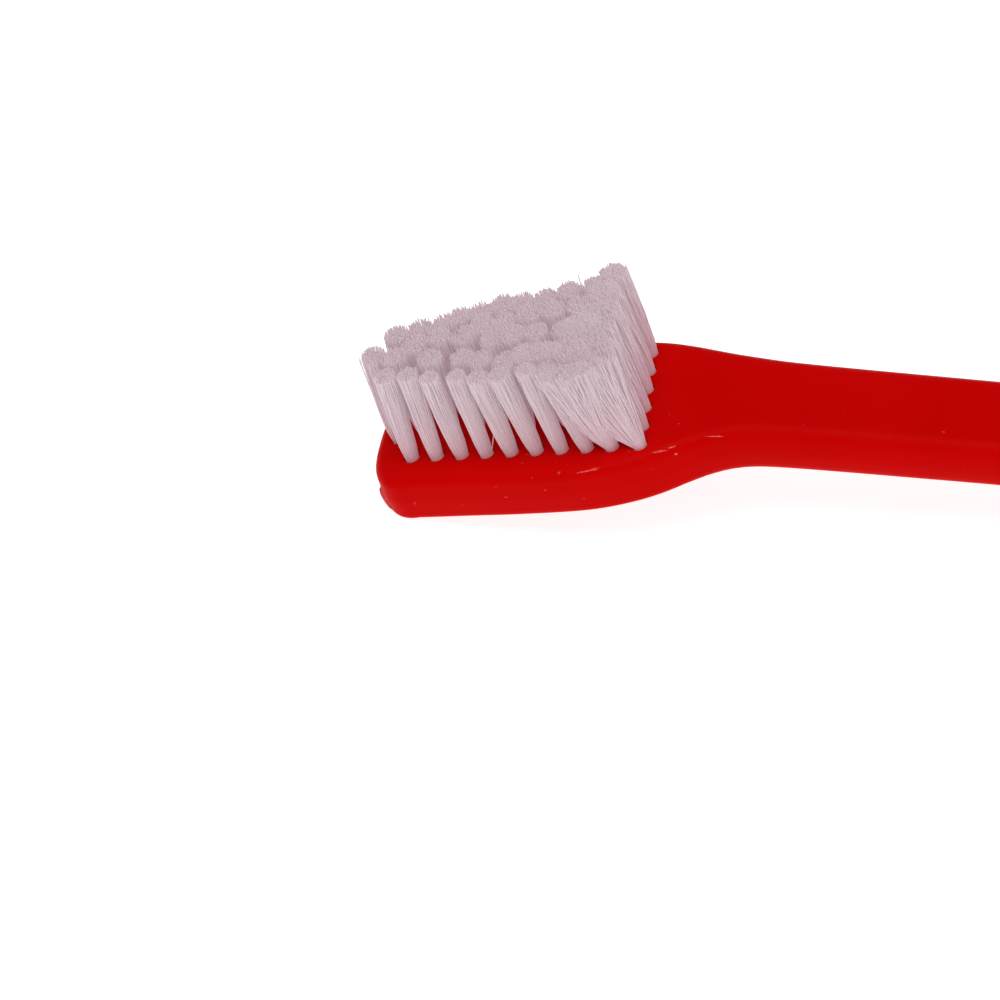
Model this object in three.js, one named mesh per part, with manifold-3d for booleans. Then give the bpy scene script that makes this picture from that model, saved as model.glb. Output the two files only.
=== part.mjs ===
// Pet toothbrush: a one-piece moulded handle with a large, back-angled head, and a field of nylon tufts
// that stand in blind holes in the head. Millimetres, +Z up. The brush lies on its back, head towards -X,
// bristles up, and touches the floor under the head's nose and under the far end of the handle.
import * as THREE from 'three';
import { mergeVertices } from 'three/addons/utils/BufferGeometryUtils.js';
import Module from 'manifold-3d';

const wasm = await Module();
wasm.setup();

// Handle moulding. Stations run along the middle of the brush, from the tip of the head.
const TOTAL_LENGTH = 215;
const HEAD_THICKNESS = 5.2;
const GRIP_THICKNESS = 6.2;
const GRIP_STARTS = 62;
const GRIP_FULL = 110;
const HEAD_LENGTH = 31.3;
const HEAD_ANGLE = THREE.MathUtils.degToRad(19.4);
const NECK_RADIUS = 26;
const NOSE_LENGTH = 3.4;
const NOSE_SKEW = 0.09;
const END_LENGTH = 7;
const EDGE_RADIUS = 1.0;
const GRIP_EDGE_RADIUS = 1.7;
const EDGE_STEPS = 4;

// Half widths of the outline at stations between the rounded nose and the rounded end.
const HALF_WIDTHS = [
  [NOSE_LENGTH, 5.75], [7.3, 6.45], [12.8, 7.4], [18.3, 8.15], [21.4, 8.25], [24.3, 7.97], [26.7, 7.43],
  [28.9, 6.7], [31.3, 5.9], [33.9, 5.32], [38, 5.04], [48, 4.92], [GRIP_STARTS, 4.92], [86, 5.4],
  [GRIP_FULL, 5.8], [160, 5.9], [190, 5.75], [TOTAL_LENGTH - END_LENGTH, 5.5],
];

// Stump of the moulding gate, low on the near corner of the nose.
const GATE_RADIUS = 1.3;
const GATE_STANDS = 0.5;
const GATE_PLACE = new THREE.Vector3(0.52, -3.7, -3.5);
const GATE_ANGLE = THREE.MathUtils.degToRad(215);

// Tuft field, measured on the head's face from the first tuft of the near row.
const FIRST_TUFT = 3.65;
const NEAR_PITCH = 2.38;
const FAR_PITCH = 2.1;
const FAR_START = 0.1;
const SLANT = 0.405;
const NEAR_COLUMNS = 9;
const FIELD_HALF_WIDTH = 2.7;
const FIELD_TAPER = 0.144;
const COLUMN_STEP = 2.55;
const HEEL_TUFTS = 6;
const HEEL_SET_BACK = 0.25;
const NOSE_TUFT = -1.5;

// One tuft and its hole.
const TUFT_HEIGHT = 10.4;
const TUFT_ROOT = 3.2;
const TUFT_RADIUS = 0.7;
const TUFT_TIP_RADIUS = 0.93;
const TIP_ROUNDING = 0.35;
const TUFT_SIDES = 12;
const HOLE_RADIUS = 0.85;
const HOLE_DEPTH = 3.5;

// The brush lies on two small flats, moulded this far into the undersides of its nose and its far end.
const FLAT_DEPTH = 0.4;

const red = new THREE.MeshStandardMaterial({ color: 0xc00404, roughness: 0.35, metalness: 0 });
const nylon = new THREE.MeshStandardMaterial({ color: 0xd6c8cb, roughness: 0.6, metalness: 0 });

function solidOf(geometry) {
  const bare = geometry.index ? geometry.clone() : geometry;
  bare.deleteAttribute('normal');
  bare.deleteAttribute('uv');
  const merged = mergeVertices(bare, 1e-5);
  return new wasm.Manifold(new wasm.Mesh({
    numProp: 3,
    vertProperties: new Float32Array(merged.attributes.position.array),
    triVerts: new Uint32Array(merged.index.array),
  }));
}

function geometryOf(solid) {
  const mesh = solid.getMesh();
  const geometry = new THREE.BufferGeometry();
  geometry.setAttribute('position', new THREE.BufferAttribute(mesh.vertProperties, 3));
  geometry.setIndex(new THREE.BufferAttribute(mesh.triVerts, 1));
  return geometry;
}

// Middle line of the moulding in the plane of symmetry: straight head, neck arc, straight handle.
// Returns the point and the slope below the head's own direction.
function spineAt(station) {
  const arcHalf = NECK_RADIUS * Math.tan(HEAD_ANGLE / 2);
  const arcStart = HEAD_LENGTH - arcHalf;
  const arcLength = NECK_RADIUS * HEAD_ANGLE;
  const level = -HEAD_THICKNESS / 2;
  if (station <= arcStart) return { x: station, z: level, slope: 0 };
  const turn = Math.min(HEAD_ANGLE, (station - arcStart) / NECK_RADIUS);
  const beyond = Math.max(0, station - arcStart - arcLength);
  return {
    x: arcStart + NECK_RADIUS * Math.sin(turn) + beyond * Math.cos(turn),
    z: level - NECK_RADIUS * (1 - Math.cos(turn)) - beyond * Math.sin(turn),
    slope: turn,
  };
}

function gripShare(station) {
  return THREE.MathUtils.clamp((station - GRIP_STARTS) / (GRIP_FULL - GRIP_STARTS), 0, 1);
}

// The back of the handle is one straight line, so the extra thickness of the grip is all on its top.
function levelAt(station, share) {
  const top = HEAD_THICKNESS / 2 + (GRIP_THICKNESS - HEAD_THICKNESS) * gripShare(station);
  return THREE.MathUtils.lerp(-HEAD_THICKNESS / 2, top, share);
}

function edgeRadiusAt(station) {
  const neckShare = THREE.MathUtils.smoothstep(station, 24, 38);
  return THREE.MathUtils.lerp(EDGE_RADIUS, GRIP_EDGE_RADIUS, neckShare);
}

// The nose is not quite square to the brush: its near corner stands a little further forward.
function skewAt(station, y) {
  return NOSE_SKEW * y * (1 - THREE.MathUtils.smoothstep(station, 0, 3 * NOSE_LENGTH));
}

// Right half of the outline, from the tip of the head to the end of the handle.
function outlineHalf() {
  const [first, last] = [HALF_WIDTHS[0], HALF_WIDTHS.at(-1)];
  const curve = new THREE.SplineCurve(HALF_WIDTHS.map(([s, w]) => new THREE.Vector2(s, w)));
  const nose = roundedEnd(first[0], first[1], 12).reverse().map((p) => new THREE.Vector2(first[0] - p.x, p.y));
  const end = roundedEnd(END_LENGTH, last[1], 8).map((p) => new THREE.Vector2(last[0] + p.x, p.y));
  const middle = curve.getPoints((HALF_WIDTHS.length - 1) * 3).slice(1, -1);
  return [...nose, ...middle, ...end];
}

// A blunt quarter curve from the full half width to the axis, squarer than an ellipse.
function roundedEnd(length, halfWidth, steps) {
  const points = [];
  for (let i = 0; i <= steps; i += 1) {
    const angle = (i / steps) * Math.PI / 2;
    const along = Math.sin(angle) ** 0.9;
    const across = Math.cos(angle) ** 0.75;
    points.push(new THREE.Vector2(length * along, i === steps ? 0 : halfWidth * across));
  }
  return points;
}

function outwardNormals(points) {
  return points.map((point, i) => {
    if (i === 0) return new THREE.Vector2(-1, 0);
    if (i === points.length - 1) return new THREE.Vector2(1, 0);
    const along = points[i + 1].clone().sub(points[i - 1]).normalize();
    return new THREE.Vector2(-along.y, along.x);
  });
}

// Layers of the rounded slab, bottom to top: how far each is drawn in, and its share of the thickness.
function slabLayers() {
  const layers = [];
  for (let i = 0; i <= EDGE_STEPS; i += 1) {
    const angle = (i / EDGE_STEPS) * Math.PI / 2;
    layers.push({ inset: 1 - Math.sin(angle), lift: 1 - Math.cos(angle), top: false });
  }
  const mirrored = layers.map((layer) => ({ ...layer, top: true })).reverse();
  return [...layers, ...mirrored];
}

function mouldingGeometry() {
  const outline = outlineHalf();
  const normals = outwardNormals(outline);
  const count = outline.length;
  const loop = [...outline.keys(), ...[...outline.keys()].slice(1, -1).reverse().map((i) => -i)];
  const layers = slabLayers();
  const positions = [];
  for (const layer of layers) {
    for (const key of loop) {
      const side = key < 0 ? -1 : 1;
      const index = Math.abs(key);
      const radius = edgeRadiusAt(outline[index].x);
      const flat = outline[index].clone().addScaledVector(normals[index], -layer.inset * radius);
      const spine = spineAt(flat.x + skewAt(flat.x, side * flat.y));
      const level = layer.top ? levelAt(flat.x, 1) - layer.lift * radius : levelAt(flat.x, 0) + layer.lift * radius;
      positions.push(
        spine.x + level * Math.sin(spine.slope),
        side * flat.y,
        spine.z + level * Math.cos(spine.slope),
      );
    }
  }
  const indices = [];
  const ring = loop.length;
  for (let k = 0; k < layers.length - 1; k += 1) {
    for (let i = 0; i < ring; i += 1) {
      const [a, b] = [k * ring + i, k * ring + (i + 1) % ring];
      indices.push(a, a + ring, b, b, a + ring, b + ring);
    }
  }
  const cap = (base, flip) => {
    const mirror = (i) => (i === 0 || i === count - 1 ? i : ring - i);
    for (let i = 0; i < count - 1; i += 1) {
      const quad = [i, i + 1, mirror(i + 1), mirror(i)].map((j) => base + j);
      for (const [a, b, c] of [[quad[0], quad[1], quad[2]], [quad[0], quad[2], quad[3]]]) {
        if (a !== b && b !== c && c !== a) indices.push(...(flip ? [a, c, b] : [a, b, c]));
      }
    }
  };
  cap(0, false);
  cap((layers.length - 1) * ring, true);
  const geometry = new THREE.BufferGeometry();
  geometry.setAttribute('position', new THREE.Float32BufferAttribute(positions, 3));
  geometry.setIndex(indices);
  return geometry;
}

// Places of the tufts on the head's face. Slanted columns run from the near edge to the far edge of the
// tapered field; a straight column closes it at the heel, and two short ones fill the wedge between.
function tuftPlaces() {
  const halfWidth = (x) => FIELD_HALF_WIDTH + FIELD_TAPER * x;
  const places = [{ name: 'tuft_nose', x: NOSE_TUFT, y: 0 }, { name: 'tuft_a1', x: 0, y: -FIELD_HALF_WIDTH }];
  const column = (letter, from, to, tufts) => {
    for (let i = 0; i < tufts; i += 1) {
      const share = tufts === 1 ? 1 : i / (tufts - 1);
      places.push({
        name: `tuft_${letter}${i + 1}`,
        x: THREE.MathUtils.lerp(from.x, to.x, share),
        y: THREE.MathUtils.lerp(from.y, to.y, share),
      });
    }
  };
  const farEnd = (x) => ({ x, y: halfWidth(x) });
  for (let i = 1; i < NEAR_COLUMNS; i += 1) {
    const from = { x: i * NEAR_PITCH, y: -halfWidth(i * NEAR_PITCH) };
    const to = farEnd(FAR_START + (i - 1) * FAR_PITCH);
    const span = Math.hypot(to.x - from.x, to.y - from.y);
    column('abcdefghi'[i], from, to, 1 + Math.round(span / COLUMN_STEP));
  }
  const heel = NEAR_COLUMNS * NEAR_PITCH + HEEL_SET_BACK;
  const fillerEnd = farEnd(FAR_START + (NEAR_COLUMNS - 1) * FAR_PITCH);
  const fillerStart = { x: fillerEnd.x + SLANT * fillerEnd.y, y: 0 };
  column('j', fillerStart, fillerEnd, 3);
  column('k', fillerStart, farEnd(FAR_START + NEAR_COLUMNS * FAR_PITCH), 1);
  column('m', { x: heel, y: -halfWidth(heel) }, farEnd(heel), HEEL_TUFTS);
  return places;
}

function latheUp(profile, sides) {
  const geometry = new THREE.LatheGeometry(profile.map(([r, z]) => new THREE.Vector2(r, z)), sides);
  return geometry.rotateX(Math.PI / 2);
}

// A bunch of filaments as one stub: a straight root in the hole, then a slight flare to a rounded tip.
function tuftGeometry() {
  return latheUp([
    [0, -TUFT_ROOT], [TUFT_RADIUS, -TUFT_ROOT], [TUFT_RADIUS, 0],
    [TUFT_TIP_RADIUS, TUFT_HEIGHT - TIP_ROUNDING], [TUFT_TIP_RADIUS - TIP_ROUNDING, TUFT_HEIGHT],
    [0, TUFT_HEIGHT],
  ], TUFT_SIDES);
}

function holeGeometry() {
  const above = 1;
  return new THREE.CylinderGeometry(HOLE_RADIUS, HOLE_RADIUS, HOLE_DEPTH + above, TUFT_SIDES)
    .rotateX(Math.PI / 2)
    .translate(0, 0, (above - HOLE_DEPTH) / 2);
}

function gateGeometry() {
  const buried = 2;
  return new THREE.CylinderGeometry(GATE_RADIUS * 0.8, GATE_RADIUS, buried + GATE_STANDS, TUFT_SIDES)
    .rotateZ(-Math.PI / 2)
    .translate((GATE_STANDS - buried) / 2, 0, 0)
    .rotateZ(GATE_ANGLE)
    .translate(...GATE_PLACE.toArray());
}

// Slope at which the brush lies: the line that touches the rounded edges under its nose and its far end.
function restAngle() {
  const nose = spineAt(EDGE_RADIUS);
  const end = spineAt(TOTAL_LENGTH - GRIP_EDGE_RADIUS);
  const drop = HEAD_THICKNESS / 2 - GRIP_EDGE_RADIUS;
  const endCentre = { x: end.x - drop * Math.sin(end.slope), z: end.z - drop * Math.cos(end.slope) };
  const noseCentre = { x: nose.x, z: nose.z - (HEAD_THICKNESS / 2 - EDGE_RADIUS) };
  const [dx, dz] = [endCentre.x - noseCentre.x, endCentre.z - noseCentre.z];
  return Math.atan2(dz, dx) - Math.asin((GRIP_EDGE_RADIUS - EDGE_RADIUS) / Math.hypot(dx, dz));
}

const places = tuftPlaces();

const lying = new THREE.Matrix4().makeRotationY(restAngle());
const moulding = mouldingGeometry();
const underside = moulding.clone().applyMatrix4(lying);
underside.computeBoundingBox();
lying.premultiply(new THREE.Matrix4().makeTranslation(0, 0, -FLAT_DEPTH - underside.boundingBox.min.z));

const floorBlock = new THREE.BoxGeometry(2 * TOTAL_LENGTH, 40, 10)
  .translate(TOTAL_LENGTH / 2, 0, -5)
  .applyMatrix4(lying.clone().invert());
let body = solidOf(moulding).add(solidOf(gateGeometry())).subtract(solidOf(floorBlock));
for (const place of places) {
  body = body.subtract(solidOf(holeGeometry().translate(FIRST_TUFT + place.x, place.y, 0)));
}

const brush = new THREE.Group();
const onHead = new THREE.Group();
const handle = new THREE.Mesh(geometryOf(body), red);
handle.name = 'handle';
onHead.add(handle);
for (const place of places) {
  const tuft = new THREE.Mesh(tuftGeometry(), nylon);
  tuft.name = place.name;
  tuft.position.set(FIRST_TUFT + place.x, place.y, 0);
  onHead.add(tuft);
}
onHead.applyMatrix4(lying);
brush.add(onHead);
brush.updateMatrixWorld(true);
const bounds = new THREE.Box3().setFromObject(brush, true);
brush.position.x = -(bounds.min.x + bounds.max.x) / 2;

export default brush;
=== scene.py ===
# Pet toothbrush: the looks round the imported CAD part. A red one-piece moulding with real tuft holes, and a
# bunch of nylon filaments for each CAD tuft. Lengths are millimetres until a mesh or an object is placed.
import math

import bmesh
import bpy
import numpy as np
from mathutils import Matrix, Vector
from mathutils.geometry import delaunay_2d_cdt


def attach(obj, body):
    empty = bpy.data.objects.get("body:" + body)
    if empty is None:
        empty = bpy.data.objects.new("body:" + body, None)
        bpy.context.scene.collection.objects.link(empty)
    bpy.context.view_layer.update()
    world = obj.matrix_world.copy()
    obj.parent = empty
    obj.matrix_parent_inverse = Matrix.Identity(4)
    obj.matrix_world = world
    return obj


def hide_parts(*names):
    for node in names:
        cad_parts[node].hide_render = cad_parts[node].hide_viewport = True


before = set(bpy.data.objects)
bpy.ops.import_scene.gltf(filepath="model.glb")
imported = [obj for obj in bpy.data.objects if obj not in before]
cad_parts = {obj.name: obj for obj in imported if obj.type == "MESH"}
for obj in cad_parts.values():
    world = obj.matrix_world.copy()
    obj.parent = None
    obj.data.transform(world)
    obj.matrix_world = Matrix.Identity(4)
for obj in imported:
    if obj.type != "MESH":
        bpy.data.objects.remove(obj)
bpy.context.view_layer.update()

MM = 0.001
SEED = 7
FULL_TURN = 2 * math.pi
TINY = 1e-9

# The moulding, as the CAD part has it. Stations run along its middle from the tip of the head.
TOTAL_LENGTH = 215
HEAD_THICKNESS = 5.2
GRIP_THICKNESS = 6.2
GRIP_STARTS = 62
GRIP_FULL = 110
HEAD_LENGTH = 31.3
HEAD_ANGLE = math.radians(19.4)
NECK_RADIUS = 26
NOSE_LENGTH = 3.4
NOSE_SKEW = 0.09
SKEW_FADES = 3 * NOSE_LENGTH
END_LENGTH = 7
END_ALONG_POWER = 0.9
END_ACROSS_POWER = 0.75
EDGE_RADIUS = 1.0
GRIP_EDGE_RADIUS = 1.7
EDGE_WIDENS = (24, 38)
FIRST_TUFT = 3.65
HALF_WIDTHS = [
    (NOSE_LENGTH, 5.75), (7.3, 6.45), (12.8, 7.4), (18.3, 8.15), (21.4, 8.25), (24.3, 7.97),
    (26.7, 7.43), (28.9, 6.7), (31.3, 5.9), (33.9, 5.32), (38, 5.04), (48, 4.92),
    (GRIP_STARTS, 4.92), (86, 5.4), (GRIP_FULL, 5.8), (160, 5.9), (190, 5.75),
    (TOTAL_LENGTH - END_LENGTH, 5.5),
]

# How finely the moulding is drawn, and how it is shaded.
EDGE_STEPS = 8
NOSE_STEPS = 28
END_STEPS = 20
LONGEST_STEP = 0.9
SMOOTH_DEGREES = 32
NORMAL_WEIGHT = 80

# Spare points over a flat face: their pitch, and in pitches, their rows to each side and how far they stay
# from the rim, the two ends and the holes.
CAP_GRID = 0.8
GRID_ROWS = 12
RIM_CLEARANCE = 0.7
END_CLEARANCE = 1.5
HOLE_CLEARANCE = 0.3
SAME_POINT = 1e-6

# The parting line: half its width and half its flat crest, as shares of the height of the sides, and how
# far it stands out. The sides bulge slightly between the rounded edges.
PARTING_REACH = 0.12
PARTING_CREST = 0.4 * PARTING_REACH
PARTING_HEIGHT = 0.035
SIDE_CROWN = 0.05

# A tuft hole: its rolled rim, and its wall as (radius, level) from the rim down.
HOLE_SIDES = 24
HOLE_RADIUS = 0.725
HOLE_RIM = 0.04
HOLE_DEPTH = 3.2
OPENING_RADIUS = HOLE_RADIUS + HOLE_RIM
INSIDE_OPENING = HOLE_RADIUS + 0.9 * HOLE_RIM
HOLE_WALL = [(HOLE_RADIUS + 0.35 * HOLE_RIM, -0.07), (HOLE_RADIUS, -0.2), (HOLE_RADIUS, -HOLE_DEPTH)]

# The stump of the moulding gate: a peg buried in the nose, its profile as (radius, level) along its axis.
GATE_SIDES = 24
GATE_RADIUS = 1.25
GATE_BURIED = -1.5
GATE_STANDS = 0.5
GATE_PROFILE = [
    (0, GATE_BURIED), (GATE_RADIUS, GATE_BURIED), (GATE_RADIUS, GATE_STANDS - 0.3),
    (0.9 * GATE_RADIUS, GATE_STANDS - 0.1), (0.7 * GATE_RADIUS, GATE_STANDS), (0, GATE_STANDS + 0.03),
]
GATE_PLACE = (0.52, -3.7, -3.5)
GATE_ANGLE = math.radians(215)

# The filaments of one tuft. RISE is where their points above the face are, as shares of their height.
STRANDS = 190
FAN_STRANDS = 500
STRAND_RADIUS = 0.052
STRAND_SIDES = 5
ROOT_DEPTH = 1.2
RISE = (0, 0.14, 0.3, 0.47, 0.65, 0.83, 1)
OUTER_SHORT = 0.15
GOLDEN_ANGLE = math.pi * (3 - math.sqrt(5))

# A filament's domed tip, in its radii: the width and height of its shoulder, and the height of its apex.
SHOULDER_WIDTH = 0.72
SHOULDER_HEIGHT = 0.55
APEX_HEIGHT = 0.85

# How a bunch opens above its hole, and how its filaments bend on their way up.
BUNCH_RADIUS = 0.6
NEAR_FLARE = 1.62
BUNCH_FLARE = 1.96
FLARE_POWER = 0.5
TUCK_POWER = 3
LEAN_POWER = 1.1
FAN_POWER = 0.78
FAN_CROWDING = 1.3
WAVE = 0.05
FAN_WAVE = 0.12
WAVE_TURNS = 1.3

# The thicker clumps that fill the middle of a straight bunch.
CORE_STRANDS = 9
CORE_SPREAD = 0.72
CORE_RADIUS = 0.17
CORE_SHORT = 0.45

# How far chance takes tufts and filaments from their usual shape. The ruffle is a share of the fan's tilt.
FLARE_SCATTER = (0.95, 1.06)
LEAN_SCATTER = 0.14
HEIGHT_SCATTER = 0.1
LENGTH_SCATTER = 0.06
DRIFT_SCATTER = 0.06
FAN_RUFFLE = 0.12
STRAY_SHARE = 0.006
STRAY_DRIFT = 0.3

# The tips of all but the heel's own column lean a little towards the handle.
COMMON_LEAN = 0.25

# What some tufts lean besides, (towards the handle, towards the far side) at the tip.
LEANS = {
    "nose": (0.65, 0.1),
    "a1": (0.6, -0.1), "b1": (0.3, 0), "c1": (0, -0.4), "d1": (0.15, -0.3), "e1": (-0.1, -0.8),
    "f1": (-0.4, -0.7), "g1": (-0.3, -0.4), "h1": (-0.95, -0.35), "i1": (0, -0.6), "k1": (0.25, -0.5),
    "b2": (0, -0.4), "c2": (0.7, -0.1), "d2": (1.45, -0.2), "e2": (1, -0.9), "f2": (0.9, -0.8),
    "h2": (-0.2, -0.35),
    "b3": (1.05, -0.4), "j3": (0.2, -0.75),
    "c4": (1, -0.2), "d4": (1.2, -0.4), "e4": (0.5, 0),
    "f5": (0.4, -0.4), "g5": (0.3, -0.1), "h5": (-0.1, -0.5), "i5": (0.1, -0.75),
    "m1": (0, 0.6), "m6": (0.1, 0),
}

# Worn tufts fan towards the nose. Each has the tilt in degrees of its filaments nearest the nose, and of
# those nearest the handle.
FANS = {
    "i1": (16, -3), "h2": (8, -3), "i2": (12, -4), "j1": (7, -4),
    "m1": (30, 0), "m2": (25, 2), "m3": (18, 3), "m4": (12, 3), "m5": (7, 3), "m6": (3, 2),
}

# One tuft opens less than its neighbours, and one draws together at its tip by a share of its radius.
FLARES = {"d1": 1.35}
TUCKS = {"c1": 0.3}

# One filament, the one that stands furthest to this side of its hole, has its tip across the next tuft.
CROSSED = {"d1": (3.8, 0)}
CROSSED_SIDE = (1, -0.5)

# Pale marks on the moulding: those on its rounded edges are painted highlights (glints), the rest are
# scuffs.
# # Each has its middle and size in the head's frame, and its turn in degrees. The softness is where a mark
# # starts to fade and where it ends, in its half sizes.
GLINTS_AND_SCUFFS = [
    ((20.6, -7.9, -0.5), (2.3, 0.1, 1.2), 1), ((21.3, -7.8, -0.35), (1.2, 0.05, 1.2), 4),
    ((27.2, -6.85, -0.3), (1.3, 0.14, 1.2), 9), ((28.3, -6.5, -0.25), (0.8, 0.1, 1.2), 17),
    ((28.6, -6.9, -0.9), (0.5, 0.3, 0.25), -30), ((32.2, -5.35, -0.7), (2.0, 0.07, 1.2), 7),
    ((36.5, -4.6, -1.3), (2.6, 0.05, 1.2), 0), ((12.3, -7.3, -2.3), (0.35, 0.8, 0.08), 0),
    ((16.2, -8.0, -1.7), (0.14, 0.8, 0.12), 0), ((19.4, -8.2, -3.1), (0.2, 0.8, 0.07), 0),
]
GLINT_AND_SCUFF_SOFTNESS = (0.7, 1.1)
GLINT_AND_SCUFF_STRENGTH = 0.75
SPECK_STRENGTH = 0.36

# Roughness from its least to its most, and where most of a noise's values lie.
PLASTIC_ROUGHNESS = (0.36, 0.48)
NYLON_ROUGHNESS = (0.42, 0.6)
NOISE_SPAN = (0.3, 0.7)

# Linear colours, with their alpha.
DEEP_RED = (0.59, 0.0005, 0.0004, 1)
BRIGHT_RED = (0.65, 0.001, 0.0008, 1)
# Pale pink of the painted edge glints and of the scuffs.
GLINT_AND_SCUFF_PINK = (0.85, 0.28, 0.25, 1)
# Nylon in two tones; its pink cast is painted red light bounced from the moulding.
DARKER_NYLON = (0.63, 0.525, 0.56, 1)
LIGHTER_NYLON = (0.70, 0.60, 0.63, 1)
# The painted red light at the filaments' foot, and the pink it fades to.
RED_BOUNCE_FOOT = (1, 0.5, 0.52, 1)
PINK_BOUNCE_FOOT = (1, 0.8, 0.85, 1)
NYLON_SHEEN = (1, 0.9, 0.94, 1)
NYLON_GLOW = (1, 0.75, 0.83, 1)
GREYER_PAPER = (0.49, 0.49, 0.49, 1)
WHITER_PAPER = (0.51, 0.51, 0.51, 1)
WHITE = (1, 1, 1, 1)

# The camera: its direction from the brush and its roll in degrees, its distance, and the picture's width.
# The picture's centre is so far to the right of the head's middle at the first tuft, and so far above it.
CAMERA_AZIMUTH = 6.85
CAMERA_ELEVATION = 45.12
CAMERA_ROLL = -1.72
CAMERA_DISTANCE = 900
PICTURE_WIDTH = 89.54
PICTURE_CENTRE = (7.613, -5.773)
SENSOR_WIDTH = 36

# The studio, in metres. Each lamp has its azimuth and elevation in degrees, distance, size and watts.
CLIP_RANGE = (0.01, 20)
FLOOR_REACH = 4
WORLD_STRENGTH = 0.27
LAMPS = {
    "key_light": (-30, 76, 1.0, 0.7, 5.1),
    "fill_light": (85, 38, 1.2, 0.8, 2.3),
}


# ---------------------------------------------------------------- the CAD frame

def cad_points(node):
    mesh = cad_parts[node].data
    return np.array([vertex.co for vertex in mesh.vertices], float) / MM


def long_axis(points):
    axis = np.linalg.svd(points - points.mean(0), full_matrices=False)[2][0]
    return axis * np.sign(axis[2])


class Head:
    """The head's own frame: origin in the middle of its tip, on the face that carries the tufts."""

    def __init__(self, tufts):
        up = np.mean([long_axis(cad_points(name)) for name in tufts], 0)
        up[1] = 0
        up /= np.linalg.norm(up)
        across = np.array([0.0, 1.0, 0.0])
        self.along = np.cross(across, up)
        self.axes = np.array([self.along, across, up])
        face = (cad_points("handle") @ up).max()
        first = cad_points("tuft_a1").mean(0)
        self.origin = (first @ self.along - FIRST_TUFT) * self.along + face * up

    def world(self, local):
        return self.origin + np.asarray(local, float) @ self.axes

    def local(self, world):
        return (np.asarray(world, float) - self.origin) @ self.axes.T


tuft_names = sorted(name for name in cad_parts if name.startswith("tuft_"))
head = Head(tuft_names)


# ---------------------------------------------------------------- mesh helpers

def new_piece(name, points, faces, material, replaced):
    """A mesh object from points in millimetres, riding on the one body and standing for CAD nodes."""
    mesh = bpy.data.meshes.new(name)
    mesh.from_pydata([tuple(p) for p in np.asarray(points) * MM], [], faces)
    piece = bpy.data.objects.new(name, mesh)
    bpy.context.scene.collection.objects.link(piece)
    mesh.materials.append(material)
    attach(piece, "root")
    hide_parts(*replaced)
    return piece


def smooth(mesh):
    mesh.polygons.foreach_set("use_smooth", [True] * len(mesh.polygons))


def apply_modifiers(piece):
    """Replaces the piece's mesh by what its modifiers make of it."""
    evaluated = piece.evaluated_get(bpy.context.evaluated_depsgraph_get())
    finished = bpy.data.meshes.new_from_object(evaluated)
    finished.name = piece.name
    piece.modifiers.clear()
    piece.data = finished


def above_floor(points):
    """The points, with any that would be below the floor brought up to it."""
    points[:, 2] = np.maximum(points[:, 2], 0)
    return points


def circle(centre, radius, sides):
    angle = np.arange(sides) * FULL_TURN / sides
    return centre + radius * np.stack([np.cos(angle), np.sin(angle)], -1)


def smoothstep(value, low, high):
    share = np.clip((value - low) / (high - low), 0, 1)
    return share * share * (3 - 2 * share)


# ---------------------------------------------------------------- the moulding's outline and layers

def spine_at(station):
    """Point (x, z) on the middle line and its slope: straight head, neck arc, straight handle."""
    arc_start = HEAD_LENGTH - NECK_RADIUS * math.tan(HEAD_ANGLE / 2)
    turn = np.clip((station - arc_start) / NECK_RADIUS, 0, HEAD_ANGLE)
    beyond = np.maximum(0, station - arc_start - NECK_RADIUS * HEAD_ANGLE)
    x = np.minimum(station, arc_start) + NECK_RADIUS * np.sin(turn) + beyond * np.cos(turn)
    z = -HEAD_THICKNESS / 2 - NECK_RADIUS * (1 - np.cos(turn)) - beyond * np.sin(turn)
    return x, z, turn


def top_at(station):
    grip_share = np.clip((station - GRIP_STARTS) / (GRIP_FULL - GRIP_STARTS), 0, 1)
    return HEAD_THICKNESS / 2 + (GRIP_THICKNESS - HEAD_THICKNESS) * grip_share


def bottom_at(station):
    return np.full_like(station, -HEAD_THICKNESS / 2)


def edge_radius_at(station):
    return EDGE_RADIUS + (GRIP_EDGE_RADIUS - EDGE_RADIUS) * smoothstep(station, *EDGE_WIDENS)


def skew_at(station, across):
    return NOSE_SKEW * across * (1 - smoothstep(station, 0, SKEW_FADES))


def on_moulding(station, across, level):
    """Where a place on the moulding is, in the head's frame. The station already has the nose's skew."""
    x, z, slope = spine_at(station)
    return np.stack([x + level * np.sin(slope), across + 0 * x, z + level * np.cos(slope)], -1)


def rounded_end(length, half_width, steps):
    """A blunt quarter curve from the full half width to the axis, squarer than an ellipse."""
    angle = np.linspace(0, math.pi / 2, steps + 1)
    across = np.where(angle < math.pi / 2 - TINY, np.abs(np.cos(angle)) ** END_ACROSS_POWER, 0)
    return np.stack([length * np.sin(angle) ** END_ALONG_POWER, half_width * across], -1)


def catmull_rom(points):
    """A smooth curve through the points, in steps no longer than LONGEST_STEP."""
    padded = np.vstack([points[0], points, points[-1]])
    curve = [points[0]]
    for before, start, end, after in zip(padded, padded[1:], padded[2:], padded[3:]):
        steps = math.ceil(np.linalg.norm(end - start) / LONGEST_STEP)
        leave, arrive = (end - before) / 2, (after - start) / 2
        for t in np.arange(1, steps + 1) / steps:
            cubic = (2 * start - 2 * end + leave + arrive) * t ** 3
            square = (-3 * start + 3 * end - 2 * leave - arrive) * t ** 2
            curve.append(cubic + square + leave * t + start)
    return np.array(curve)


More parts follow.
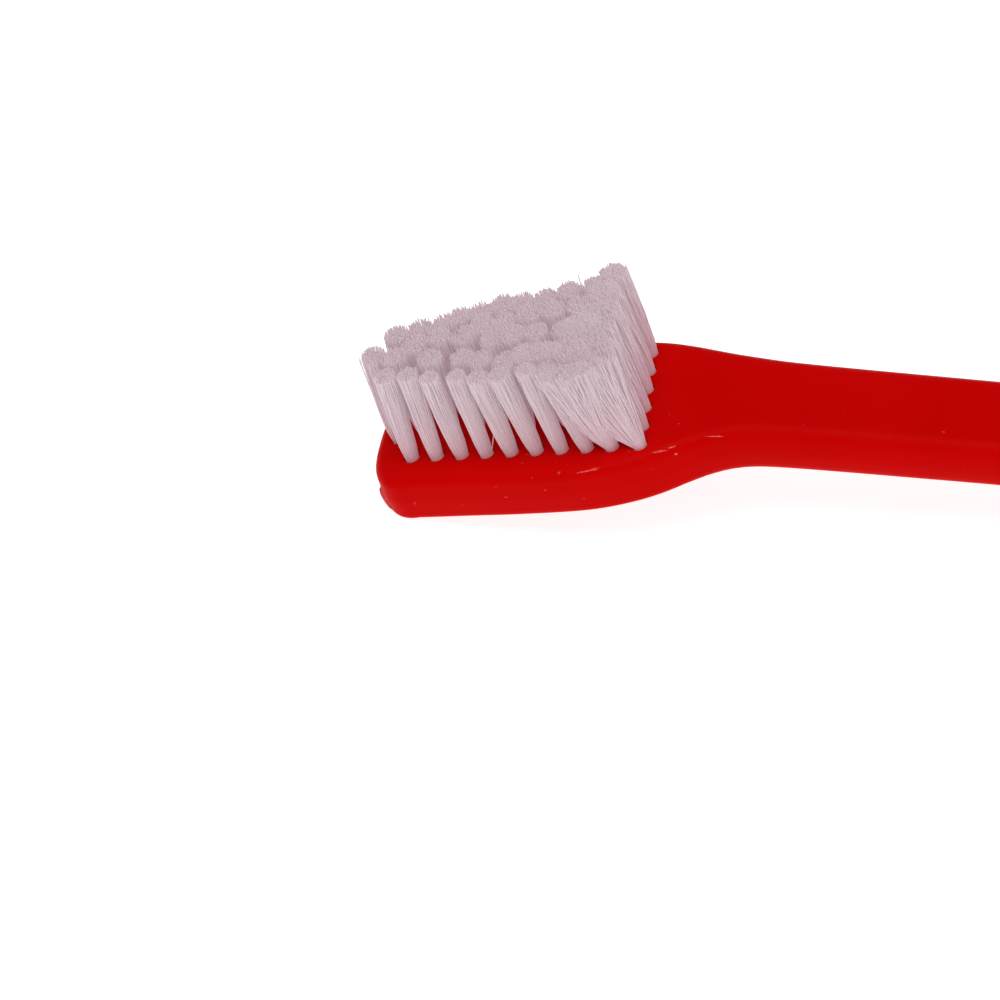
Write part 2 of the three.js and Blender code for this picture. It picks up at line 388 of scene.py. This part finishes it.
def outline_half():
    """Half outline from the tip of the head to the end of the handle, and its outward normals."""
    widths = np.array(HALF_WIDTHS, float)
    nose = rounded_end(*widths[0], NOSE_STEPS)[::-1] * [-1, 1] + [widths[0][0], 0]
    end = rounded_end(END_LENGTH, widths[-1][1], END_STEPS) + [widths[-1][0], 0]
    half = np.vstack([nose, catmull_rom(widths)[1:-1], end])
    along = np.gradient(half, axis=0)
    normals = np.stack([-along[:, 1], along[:, 0]], -1)
    normals /= np.linalg.norm(normals, axis=1)[:, None]
    normals[0], normals[-1] = (-1, 0), (1, 0)
    return half, normals


def slab_layers():
    """The rounded slab's layers from the bottom up: each one's share of the height, its inset and its lift
    in edge radii, and its bulge."""
    angles = np.linspace(0, math.pi / 2, EDGE_STEPS + 1)
    arc = [(1 - math.sin(a), 1 - math.cos(a)) for a in angles]
    bottom = [(0, inset, lift, 0) for inset, lift in arc]
    crest = SIDE_CROWN + PARTING_HEIGHT
    wall = [
        (0.5 - PARTING_REACH, 0, 0, SIDE_CROWN), (0.5 - PARTING_CREST, 0, 0, crest),
        (0.5 + PARTING_CREST, 0, 0, crest), (0.5 + PARTING_REACH, 0, 0, SIDE_CROWN),
    ]
    top = [(1, inset, -lift, 0) for inset, lift in reversed(arc)]
    return bottom + wall + top


def moulding_rings():
    """One closed ring of points per layer, in developed coordinates (station, across) and in the head's
    frame."""
    half, normals = outline_half()
    sides = np.concatenate([np.ones(len(half)), -np.ones(len(half) - 2)])
    order = np.concatenate([np.arange(len(half)), np.arange(len(half) - 2, 0, -1)])
    radius = edge_radius_at(half[:, 0])[order]
    rings = []
    for share, inset, lift, bulge in slab_layers():
        flat = half[order] + normals[order] * (bulge - inset * radius)[:, None]
        across = sides * flat[:, 1]
        station = flat[:, 0] + skew_at(flat[:, 0], across)
        low, high = bottom_at(flat[:, 0]), top_at(flat[:, 0])
        level = low + share * (high - low) + lift * radius
        rings.append((np.stack([station, across], -1), on_moulding(station, across, level)))
    return rings


# ---------------------------------------------------------------- the moulding's flat faces

def hole_centres():
    """Where the tufts stand on the head's face, in the head's frame."""
    return np.array([head.local(cad_points(name).mean(0))[:2] for name in tuft_names])


def nearest_hole(points, centres):
    """How far each point is from the middle of the nearest hole."""
    return np.linalg.norm(points[:, None] - centres[None], axis=2).min(1)


def inside_loop(points, loop):
    """Whether each point is inside the closed loop, by counting the edges that a ray crosses."""
    inside = np.zeros(len(points), bool)
    for (ax, ay), (bx, by) in zip(loop, np.roll(loop, -1, 0)):
        if ay == by:
            continue
        spans = (ay > points[:, 1]) != (by > points[:, 1])
        inside ^= spans & (points[:, 0] < (bx - ax) * (points[:, 1] - ay) / (by - ay) + ax)
    return inside


def grid_inside(ring, centres):
    """Spare points over a flat face, clear of its rim and of the holes."""
    low, high = ring[:, 0].min(), ring[:, 0].max()
    grid = np.stack(np.meshgrid(
        np.arange(low + CAP_GRID, high, CAP_GRID),
        np.arange(-CAP_GRID * GRID_ROWS, CAP_GRID * (GRID_ROWS + 0.5), CAP_GRID),
    ), -1).reshape(-1, 2)
    far_side = ring[: len(ring) // 2 + 1]
    limit = np.interp(grid[:, 0], far_side[:, 0], far_side[:, 1]) - RIM_CLEARANCE * CAP_GRID
    from_ends = END_CLEARANCE * CAP_GRID
    ends_clear = (grid[:, 0] > low + from_ends) & (grid[:, 0] < high - from_ends)
    grid = grid[(np.abs(grid[:, 1]) < limit) & ends_clear]
    if len(centres):
        grid = grid[nearest_hole(grid, centres) > OPENING_RADIUS + HOLE_CLEARANCE * CAP_GRID]
    return grid


def flat_face(ring, centres):
    """Triangles over a flat face inside its rim, with a round opening at each hole. The rim's points come
    first, then the openings', then the spare ones."""
    loops = [ring] + [circle(centre, OPENING_RADIUS, HOLE_SIDES) for centre in centres]
    edges, start = [], 0
    for loop in loops:
        edges += [(start + i, start + (i + 1) % len(loop)) for i in range(len(loop))]
        start += len(loop)
    points = np.vstack(loops + [grid_inside(ring, centres)])
    made = delaunay_2d_cdt([Vector(p) for p in points], edges, [], 0, SAME_POINT)
    _, _, triangles, origins = made[:4]
    source = [found[0] for found in origins]
    corners = np.array([[source[i] for i in triangle] for triangle in triangles])
    middles = points[corners].mean(1)
    keep = inside_loop(middles, ring)
    if len(centres):
        keep &= nearest_hole(middles, centres) > INSIDE_OPENING
    return points, corners[keep]


# ---------------------------------------------------------------- the moulding

class Skin:
    """The moulding's closed skin as it grows: points in the head's frame, and faces."""

    def __init__(self):
        self.points = []
        self.faces = []
        self.count = 0

    def add_points(self, points):
        """Adds the points, and returns the number of the first of them."""
        first = self.count
        self.points.append(points)
        self.count += len(points)
        return first

    def add_sides(self, rings):
        size = len(rings[0][0])
        for _, placed in rings:
            self.add_points(placed)
        for k in range(len(rings) - 1):
            for i in range(size):
                a, b = k * size + i, k * size + (i + 1) % size
                self.faces.append((a, b, b + size, a + size))

    def add_flat(self, rings, layer, centres, level, upward):
        """Fills one ring, and returns the number of its first point that isn't on the rim."""
        rim = rings[layer][0]
        size = len(rim)
        developed, triangles = flat_face(rim, centres)
        spare = developed[size:]
        first = self.add_points(on_moulding(spare[:, 0], spare[:, 1], level(spare[:, 0])))
        for corners in triangles:
            placed = [layer * size + c if c < size else first + c - size for c in corners]
            turned = np.cross(*(developed[corners[1:]] - developed[corners[0]])) > 0
            self.faces.append(tuple(placed if turned == upward else placed[::-1]))
        return first

    def add_hole(self, centre, above):
        """The wall and floor of one blind hole, below the opening whose first point is above."""
        for radius, level in HOLE_WALL:
            ring = circle(centre, radius, HOLE_SIDES)
            below = self.add_points(np.column_stack([ring, np.full(HOLE_SIDES, level)]))
            for i in range(HOLE_SIDES):
                j = (i + 1) % HOLE_SIDES
                self.faces.append((above + i, above + j, below + j, below + i))
            above = below
        self.faces.append(tuple(above + i for i in range(HOLE_SIDES)))


def moulding_mesh():
    """The whole moulding as one closed skin: layered sides, two flat faces, and the holes."""
    rings = moulding_rings()
    centres = hole_centres()
    skin = Skin()
    skin.add_sides(rings)
    skin.add_flat(rings, 0, centres[:0], bottom_at, False)
    first = skin.add_flat(rings, len(rings) - 1, centres, top_at, True)
    for index, centre in enumerate(centres):
        skin.add_hole(centre, first + index * HOLE_SIDES)
    return above_floor(head.world(np.vstack(skin.points))), skin.faces


def gate_stump():
    """A short rounded peg, buried in the nose, that the boolean joins to the moulding."""
    bm = bmesh.new()
    rings = []
    for radius, out in GATE_PROFILE:
        ring = circle(np.zeros(2), radius, GATE_SIDES) if radius else [(0, 0)]
        rings.append([bm.verts.new((x, y, out)) for x, y in ring])
    for low, high in zip(rings, rings[1:]):
        for i in range(GATE_SIDES):
            j = (i + 1) % GATE_SIDES
            corners = [low[i % len(low)], low[j % len(low)], high[j % len(high)], high[i % len(high)]]
            bm.faces.new(list(dict.fromkeys(corners)))
    bmesh.ops.recalc_face_normals(bm, faces=bm.faces)
    mesh = bpy.data.meshes.new("gate_stump")
    bm.to_mesh(mesh)
    bm.free()
    turn = Matrix.Rotation(GATE_ANGLE, 4, "Z") @ Matrix.Rotation(math.pi / 2, 4, "Y")
    turned = np.array([tuple(turn @ vertex.co) for vertex in mesh.vertices])
    placed = above_floor(head.world(turned + np.array(GATE_PLACE)) * MM)
    mesh.vertices.foreach_set("co", placed.ravel())
    stump = bpy.data.objects.new("gate_stump", mesh)
    bpy.context.scene.collection.objects.link(stump)
    return stump


def build_handle(material):
    points, faces = moulding_mesh()
    piece = new_piece("handle_moulding", points, faces, material, ["handle"])
    stump = gate_stump()
    union = piece.modifiers.new("gate", "BOOLEAN")
    union.operation = "UNION"
    union.solver = "EXACT"
    union.object = stump
    apply_modifiers(piece)
    bpy.data.objects.remove(stump)
    smooth(piece.data)
    piece.data.set_sharp_from_angle(angle=math.radians(SMOOTH_DEGREES))
    weighted = piece.modifiers.new("weighted", "WEIGHTED_NORMAL")
    weighted.keep_sharp = True
    weighted.weight = NORMAL_WEIGHT
    apply_modifiers(piece)


# ---------------------------------------------------------------- the bristles

def sunflower(count, random):
    """Evenly spread places in a disc of radius 1."""
    radius = np.sqrt((np.arange(count) + 0.5) / count)
    angle = np.arange(count) * GOLDEN_ANGLE + random.uniform(0, FULL_TURN)
    return radius[:, None] * np.stack([np.cos(angle), np.sin(angle)], -1)


def tube_faces(levels):
    """Faces of one closed tube: its rings from the bottom up, then its bottom point and its apex."""
    faces = []
    for k in range(levels - 1):
        for i in range(STRAND_SIDES):
            a, b = k * STRAND_SIDES + i, k * STRAND_SIDES + (i + 1) % STRAND_SIDES
            faces.append((a, b, b + STRAND_SIDES, a + STRAND_SIDES))
    bottom = levels * STRAND_SIDES
    apex = bottom + 1
    crown = bottom - STRAND_SIDES
    for i in range(STRAND_SIDES):
        j = (i + 1) % STRAND_SIDES
        faces.append((bottom, j, i))
        faces.append((apex, crown + i, crown + j))
    return faces


def tubes(lines, radius):
    """Closed tubes with domed tips round the middle lines: points, faces, and how far up each point of one
    tube is."""
    strands, count, _ = lines.shape
    ring = np.append(circle(np.zeros(2), radius, STRAND_SIDES), np.zeros((STRAND_SIDES, 1)), 1)
    centres = np.concatenate([lines, lines[:, -1:] + [0, 0, SHOULDER_HEIGHT * radius]], 1)
    widths = np.ones(count + 1)
    widths[-1] = SHOULDER_WIDTH
    body = centres[:, :, None] + widths[None, :, None, None] * ring[None, None]
    per_tube = (count + 1) * STRAND_SIDES + 2
    points = np.empty((strands, per_tube, 3))
    points[:, :-2] = body.reshape(strands, -1, 3)
    points[:, -2] = lines[:, 0]
    points[:, -1] = lines[:, -1] + [0, 0, APEX_HEIGHT * radius]
    one = tube_faces(count + 1)
    faces = [tuple(s * per_tube + c for c in face) for s in range(strands) for face in one]
    rises = np.concatenate([np.repeat((0, *RISE, 1), STRAND_SIDES), (0, 1)])
    return points.reshape(-1, 3), faces, rises


class Tuft:
    """One bunch of filaments: where it stands in the head's frame, and how it opens, leans and fans."""

    def __init__(self, name, random):
        local = head.local(cad_points(name))
        place = name.removeprefix("tuft_")
        self.root = local[:, :2].mean(0)
        self.fan = FANS.get(place)
        self.tuck = TUCKS.get(place, 0)
        self.crossed = CROSSED.get(place)
        self.disc = sunflower(FAN_STRANDS if self.fan else STRANDS, random)
        usual_flare = NEAR_FLARE if place.endswith("1") else BUNCH_FLARE
        self.flare = FLARES.get(place, usual_flare) * random.uniform(*FLARE_SCATTER)
        self.lean = np.array(LEANS.get(place, random.normal(0, LEAN_SCATTER, 2)), float)
        if not place.startswith("m"):
            self.lean[0] += COMMON_LEAN
        self.height = local[:, 2].max() + random.normal(0, HEIGHT_SCATTER)

    def drift(self, disc, length, scatter, random):
        """How far each tip is from straight above its root: lean, scatter and fan."""
        drift = self.lean + random.normal(0, scatter, disc.shape)
        if self.fan:
            nose_side, handle_side = self.fan
            share = ((1 - disc[:, 0]) / 2) ** FAN_CROWDING
            ruffle = np.abs(random.normal(0, FAN_RUFFLE * nose_side, len(disc)))
            tilt = handle_side + (nose_side - handle_side) * share + ruffle
            drift[:, 0] -= length * np.sin(np.radians(tilt))
        return drift

    def lines(self, disc, length, drift, random):
        """Middle lines of filaments, shape (filaments, points, 3). The bunch widens just above its hole,
        and leans by drift over its length. Fanned filaments bend most at their foot."""
        power, wave_size = (FAN_POWER, FAN_WAVE) if self.fan else (LEAN_POWER, WAVE)
        spread = disc * BUNCH_RADIUS
        rise = np.sqrt(np.maximum(length ** 2 - (drift ** 2).sum(1), 1))
        phase = random.uniform(0, FULL_TURN, disc.shape)
        lines = np.empty((len(disc), len(RISE) + 1, 3))
        lines[:, 0, :2] = self.root + spread
        lines[:, 0, 2] = -ROOT_DEPTH
        for step, share in enumerate(RISE, 1):
            wave = wave_size * share * np.sin(phase + share * WAVE_TURNS * FULL_TURN)
            opened = 1 + (self.flare - 1) * share ** FLARE_POWER - self.tuck * share ** TUCK_POWER
            lines[:, step, :2] = self.root + spread * opened + drift * share ** power + wave
            lines[:, step, 2] = rise * share
        return lines

    def filaments(self, random):
        """The bunch's filaments, a few of them astray, the outer ones a little shorter."""
        disc = self.disc
        chance = random.normal(0, LENGTH_SCATTER, len(disc))
        length = self.height + chance - OUTER_SHORT * (disc ** 2).sum(1)
        drift = self.drift(disc, length, DRIFT_SCATTER, random)
        stray = random.random(len(disc)) < STRAY_SHARE
        drift[stray] += random.normal(0, STRAY_DRIFT, (stray.sum(), 2))
        if self.crossed:
            drift[np.argmax(disc @ CROSSED_SIDE)] = self.crossed
        return tubes(self.lines(disc, length, drift, random), STRAND_RADIUS)

    def core(self, random):
        """The clumps in the middle of the bunch, a little shorter than its filaments."""
        disc = sunflower(CORE_STRANDS, random) * CORE_SPREAD
        length = np.full(CORE_STRANDS, self.height - CORE_SHORT)
        drift = self.drift(disc, length, 0, random)
        return tubes(self.lines(disc, length, drift, random), CORE_RADIUS)


def build_tuft(name, material, random):
    """One piece for one CAD tuft. Its attributes give each filament a shade and each point its rise."""
    tuft = Tuft(name, random)
    bunches = [tuft.filaments(random)]
    if not tuft.fan:
        bunches.append(tuft.core(random))
    points, faces, shades, heights = [], [], [], []
    for tube_points, own_faces, rises in bunches:
        offset = sum(len(p) for p in points)
        count = len(tube_points) // len(rises)
        points.append(tube_points)
        faces += [tuple(offset + c for c in face) for face in own_faces]
        shades.append(np.repeat(random.uniform(0, 1, count), len(rises)))
        heights.append(np.tile(rises, count))
    placed = head.world(np.vstack(points))
    piece = new_piece(name.replace("tuft", "bristles"), placed, faces, material, [name])
    for attribute, values in (("strand", shades), ("rise", heights)):
        layer = piece.data.attributes.new(attribute, "FLOAT", "POINT")
        layer.data.foreach_set("value", np.concatenate(values).astype(np.float32))
    smooth(piece.data)


# ---------------------------------------------------------------- materials

class Nodes:
    """A short way to make and join the shader nodes of one material."""

    def __init__(self, name):
        self.material = bpy.data.materials.new(name)
        self.material.use_nodes = True
        self.tree = self.material.node_tree
        self.shader = self.tree.nodes["Principled BSDF"]

    def feed(self, node, inputs):
        """Joins each input to its socket, or gives it its plain value."""
        for key, value in inputs.items():
            if isinstance(value, bpy.types.NodeSocket):
                self.tree.links.new(value, node.inputs[key])
            else:
                node.inputs[key].default_value = value

    def shade(self, inputs):
        self.feed(self.shader, inputs)

    def add(self, kind, inputs, **settings):
        node = self.tree.nodes.new(kind)
        for key, value in settings.items():
            setattr(node, key, value)
        self.feed(node, inputs)
        return node

    def place(self):
        return self.add("ShaderNodeTexCoord", {}).outputs["Object"]

    def attribute(self, name):
        return self.add("ShaderNodeAttribute", {}, attribute_name=name).outputs["Fac"]

    def noise(self, place, scale, detail, roughness=0.5):
        inputs = {"Vector": place, "Scale": scale, "Detail": detail, "Roughness": roughness}
        return self.add("ShaderNodeTexNoise", inputs).outputs["Fac"]

    def maths(self, operation, first, second):
        return self.add("ShaderNodeMath", {0: first, 1: second}, operation=operation).outputs["Value"]

    def ramp(self, value, *stops):
        """A colour ramp with stops of (position, colour)."""
        node = self.add("ShaderNodeValToRGB", {"Fac": value})
        elements = node.color_ramp.elements
        while len(elements) < len(stops):
            elements.new(0.5)
        for element, (position, colour) in zip(elements, stops):
            element.position = position
            element.color = colour
        return node.outputs["Color"]

    def span(self, value, source, target):
        """The value, with the source range stretched to the target range."""
        inputs = {"Value": value, "From Min": source[0], "From Max": source[1]}
        inputs |= {"To Min": target[0], "To Max": target[1]}
        return self.add("ShaderNodeMapRange", inputs).outputs["Result"]

    def mixed(self, blend, share, first, second):
        """A mix of two colours. Of the node's sockets, 0, 6 and 7 are the share and the two colours, and
        2 is the result."""
        inputs = {0: share, 6: first, 7: second}
        return self.add("ShaderNodeMix", inputs, data_type="RGBA", blend_type=blend).outputs[2]

    def bump(self, height, strength, distance):
        inputs = {"Height": height, "Strength": strength, "Distance": distance}
        return self.add("ShaderNodeBump", inputs).outputs["Normal"]


def glint_and_scuff_mask(nodes, place):
    """1 on the painted edge glints and on the scuffs, 0 elsewhere, with broken edges."""
    tilt = math.atan2(-head.along[2], head.along[0])
    masks = []
    for middle, size, turn in GLINTS_AND_SCUFFS:
        inputs = {
            "Vector": place,
            "Location": Vector(head.world(middle)) * MM,
            "Rotation": (0, tilt, math.radians(turn)),
            "Scale": Vector(size) / 2 * MM,
        }
        local = nodes.add("ShaderNodeMapping", inputs, vector_type="TEXTURE").outputs["Vector"]
        reach = nodes.add("ShaderNodeVectorMath", {0: local}, operation="LENGTH").outputs["Value"]
        masks.append(nodes.span(reach, GLINT_AND_SCUFF_SOFTNESS, (1, 0)))
    whole = masks[0]
    for mask in masks[1:]:
        whole = nodes.maths("MAXIMUM", whole, mask)
    grain = nodes.span(nodes.noise(place, scale=5200, detail=2), (0.42, 0.6), (0.25, 1))
    return nodes.maths("MULTIPLY", whole, grain)


def speck_mask(nodes, place):
    """Faint specks of dust here and there."""
    return nodes.span(nodes.noise(place, scale=1100, detail=1), (0.765, 0.81), (0, SPECK_STRENGTH))


def red_plastic():
    """Satin red with a faint cloud, a fine moulded grain, painted glints on the rounded edges, scuffs and
    specks.
    """
    nodes = Nodes("red_plastic")
    place = nodes.place()
    red = nodes.ramp(nodes.noise(place, scale=60, detail=4), (0.3, DEEP_RED), (0.7, BRIGHT_RED))
    # The marks are painted highlights (glints) on the rounded edges, scuffs, and specks of dust.
    marks = nodes.maths("MAXIMUM", glint_and_scuff_mask(nodes, place), speck_mask(nodes, place))
    gloss = nodes.noise(place, scale=900, detail=3)
    grain = nodes.noise(place, scale=420, detail=5, roughness=0.6)
    nodes.shade({
        "Base Color": nodes.mixed("MIX", nodes.span(marks, (0, 1), (0, GLINT_AND_SCUFF_STRENGTH)), red, GLINT_AND_SCUFF_PINK),
        "Roughness": nodes.span(gloss, NOISE_SPAN, PLASTIC_ROUGHNESS),
        "Normal": nodes.bump(grain, strength=0.12, distance=0.2 * MM),
        "IOR": 1.46,
        "Specular IOR Level": 0.018,
    })
    return nodes.material


def white_nylon():
    """Pale filaments with a pink cast, which is painted red light bounced from the moulding, and redder
    still at the foot, where that painted light is strongest. The weak emission is a painted glow that stands
    for the light that real filaments scatter between them."""
    nodes = Nodes("white_nylon")
    white = nodes.ramp(nodes.attribute("strand"), (0, DARKER_NYLON), (1, LIGHTER_NYLON))
    # Painted red bounce light: the filaments are redder at the foot, paling to pink, and untinted from 0.7
    # of their rise up.
    foot_bounce_tint = nodes.ramp(nodes.attribute("rise"), (0, RED_BOUNCE_FOOT), (0.07, PINK_BOUNCE_FOOT), (0.7, WHITE))
    gloss = nodes.noise(nodes.place(), scale=1500, detail=2)
    nodes.shade({
        "Base Color": nodes.mixed("MULTIPLY", 1, white, foot_bounce_tint),
        "Roughness": nodes.span(gloss, NOISE_SPAN, NYLON_ROUGHNESS),
        "Sheen Weight": 0.5,
        "Sheen Roughness": 0.6,
        "Sheen Tint": NYLON_SHEEN,
        "Emission Color": NYLON_GLOW,
        "Emission Strength": 0.11,
    })
    return nodes.material


def floor_paper():
    """Plain pale paper. Its emission keeps it near white from any angle."""
    nodes = Nodes("floor_paper")
    fibre = nodes.noise(nodes.place(), scale=260, detail=6)
    nodes.shade({
        "Base Color": nodes.ramp(fibre, (0.3, GREYER_PAPER), (0.7, WHITER_PAPER)),
        "Roughness": 0.9,
        "Emission Color": WHITE,
        "Emission Strength": 0.88,
    })
    return nodes.material


# ---------------------------------------------------------------- the studio

def direction(azimuth, elevation):
    """The way from the brush to something at these angles in degrees. Azimuth 0 is the near side."""
    a, e = math.radians(azimuth), math.radians(elevation)
    return Vector((math.sin(a) * math.cos(e), -math.cos(a) * math.cos(e), math.sin(e)))


def build_floor():
    corners = [(x * FLOOR_REACH, y * FLOOR_REACH, 0) for x, y in ((-1, -1), (1, -1), (1, 1), (-1, 1))]
    mesh = bpy.data.meshes.new("floor")
    mesh.from_pydata(corners, [], [(0, 1, 2, 3)])
    mesh.materials.append(floor_paper())
    floor = bpy.data.objects.new("floor", mesh)
    bpy.context.scene.collection.objects.link(floor)


def view_axes():
    """The camera's right, up and backward directions."""
    back = direction(CAMERA_AZIMUTH, CAMERA_ELEVATION)
    level = Vector((0, 0, 1)).cross(back).normalized()
    right = Matrix.Rotation(math.radians(CAMERA_ROLL), 3, back) @ level
    return right, back.cross(right), back


def build_camera():
    """The scene's camera. Returns the place that it looks at, in metres."""
    right, up, back = view_axes()
    first_tuft = Vector(head.world((FIRST_TUFT, 0, 0)))
    centre = first_tuft + PICTURE_CENTRE[0] * right + PICTURE_CENTRE[1] * up
    data = bpy.data.cameras.new("camera")
    data.sensor_width = SENSOR_WIDTH
    data.lens = SENSOR_WIDTH * CAMERA_DISTANCE / PICTURE_WIDTH
    data.clip_start, data.clip_end = CLIP_RANGE
    camera = bpy.data.objects.new("camera", data)
    rotation = Matrix((right, up, back)).transposed().to_4x4()
    camera.matrix_world = Matrix.Translation((centre + CAMERA_DISTANCE * back) * MM) @ rotation
    bpy.context.scene.collection.objects.link(camera)
    bpy.context.scene.camera = camera
    return centre * MM


def build_lamp(name, centre, azimuth, elevation, distance, size, watts):
    """A soft round lamp that faces the centre and isn't seen itself."""
    back = direction(azimuth, elevation)
    data = bpy.data.lights.new(name, "AREA")
    data.shape = "DISK"
    data.size = size
    data.energy = watts
    lamp = bpy.data.objects.new(name, data)
    facing = back.to_track_quat("Z", "Y").to_matrix().to_4x4()
    lamp.matrix_world = Matrix.Translation(centre + back * distance) @ facing
    lamp.visible_camera = False
    bpy.context.scene.collection.objects.link(lamp)


def build_world():
    world = bpy.data.worlds.new("studio")
    world.use_nodes = True
    background = world.node_tree.nodes["Background"]
    background.inputs["Color"].default_value = WHITE
    background.inputs["Strength"].default_value = WORLD_STRENGTH
    bpy.context.scene.world = world


def build_studio():
    bpy.context.scene.view_settings.view_transform = "Standard"
    centre = build_camera()
    build_floor()
    build_world()
    for name, settings in LAMPS.items():
        build_lamp(name, centre, *settings)


random = np.random.default_rng(SEED)
build_handle(red_plastic())
nylon = white_nylon()
for tuft_name in tuft_names:
    build_tuft(tuft_name, nylon, random)
build_studio()
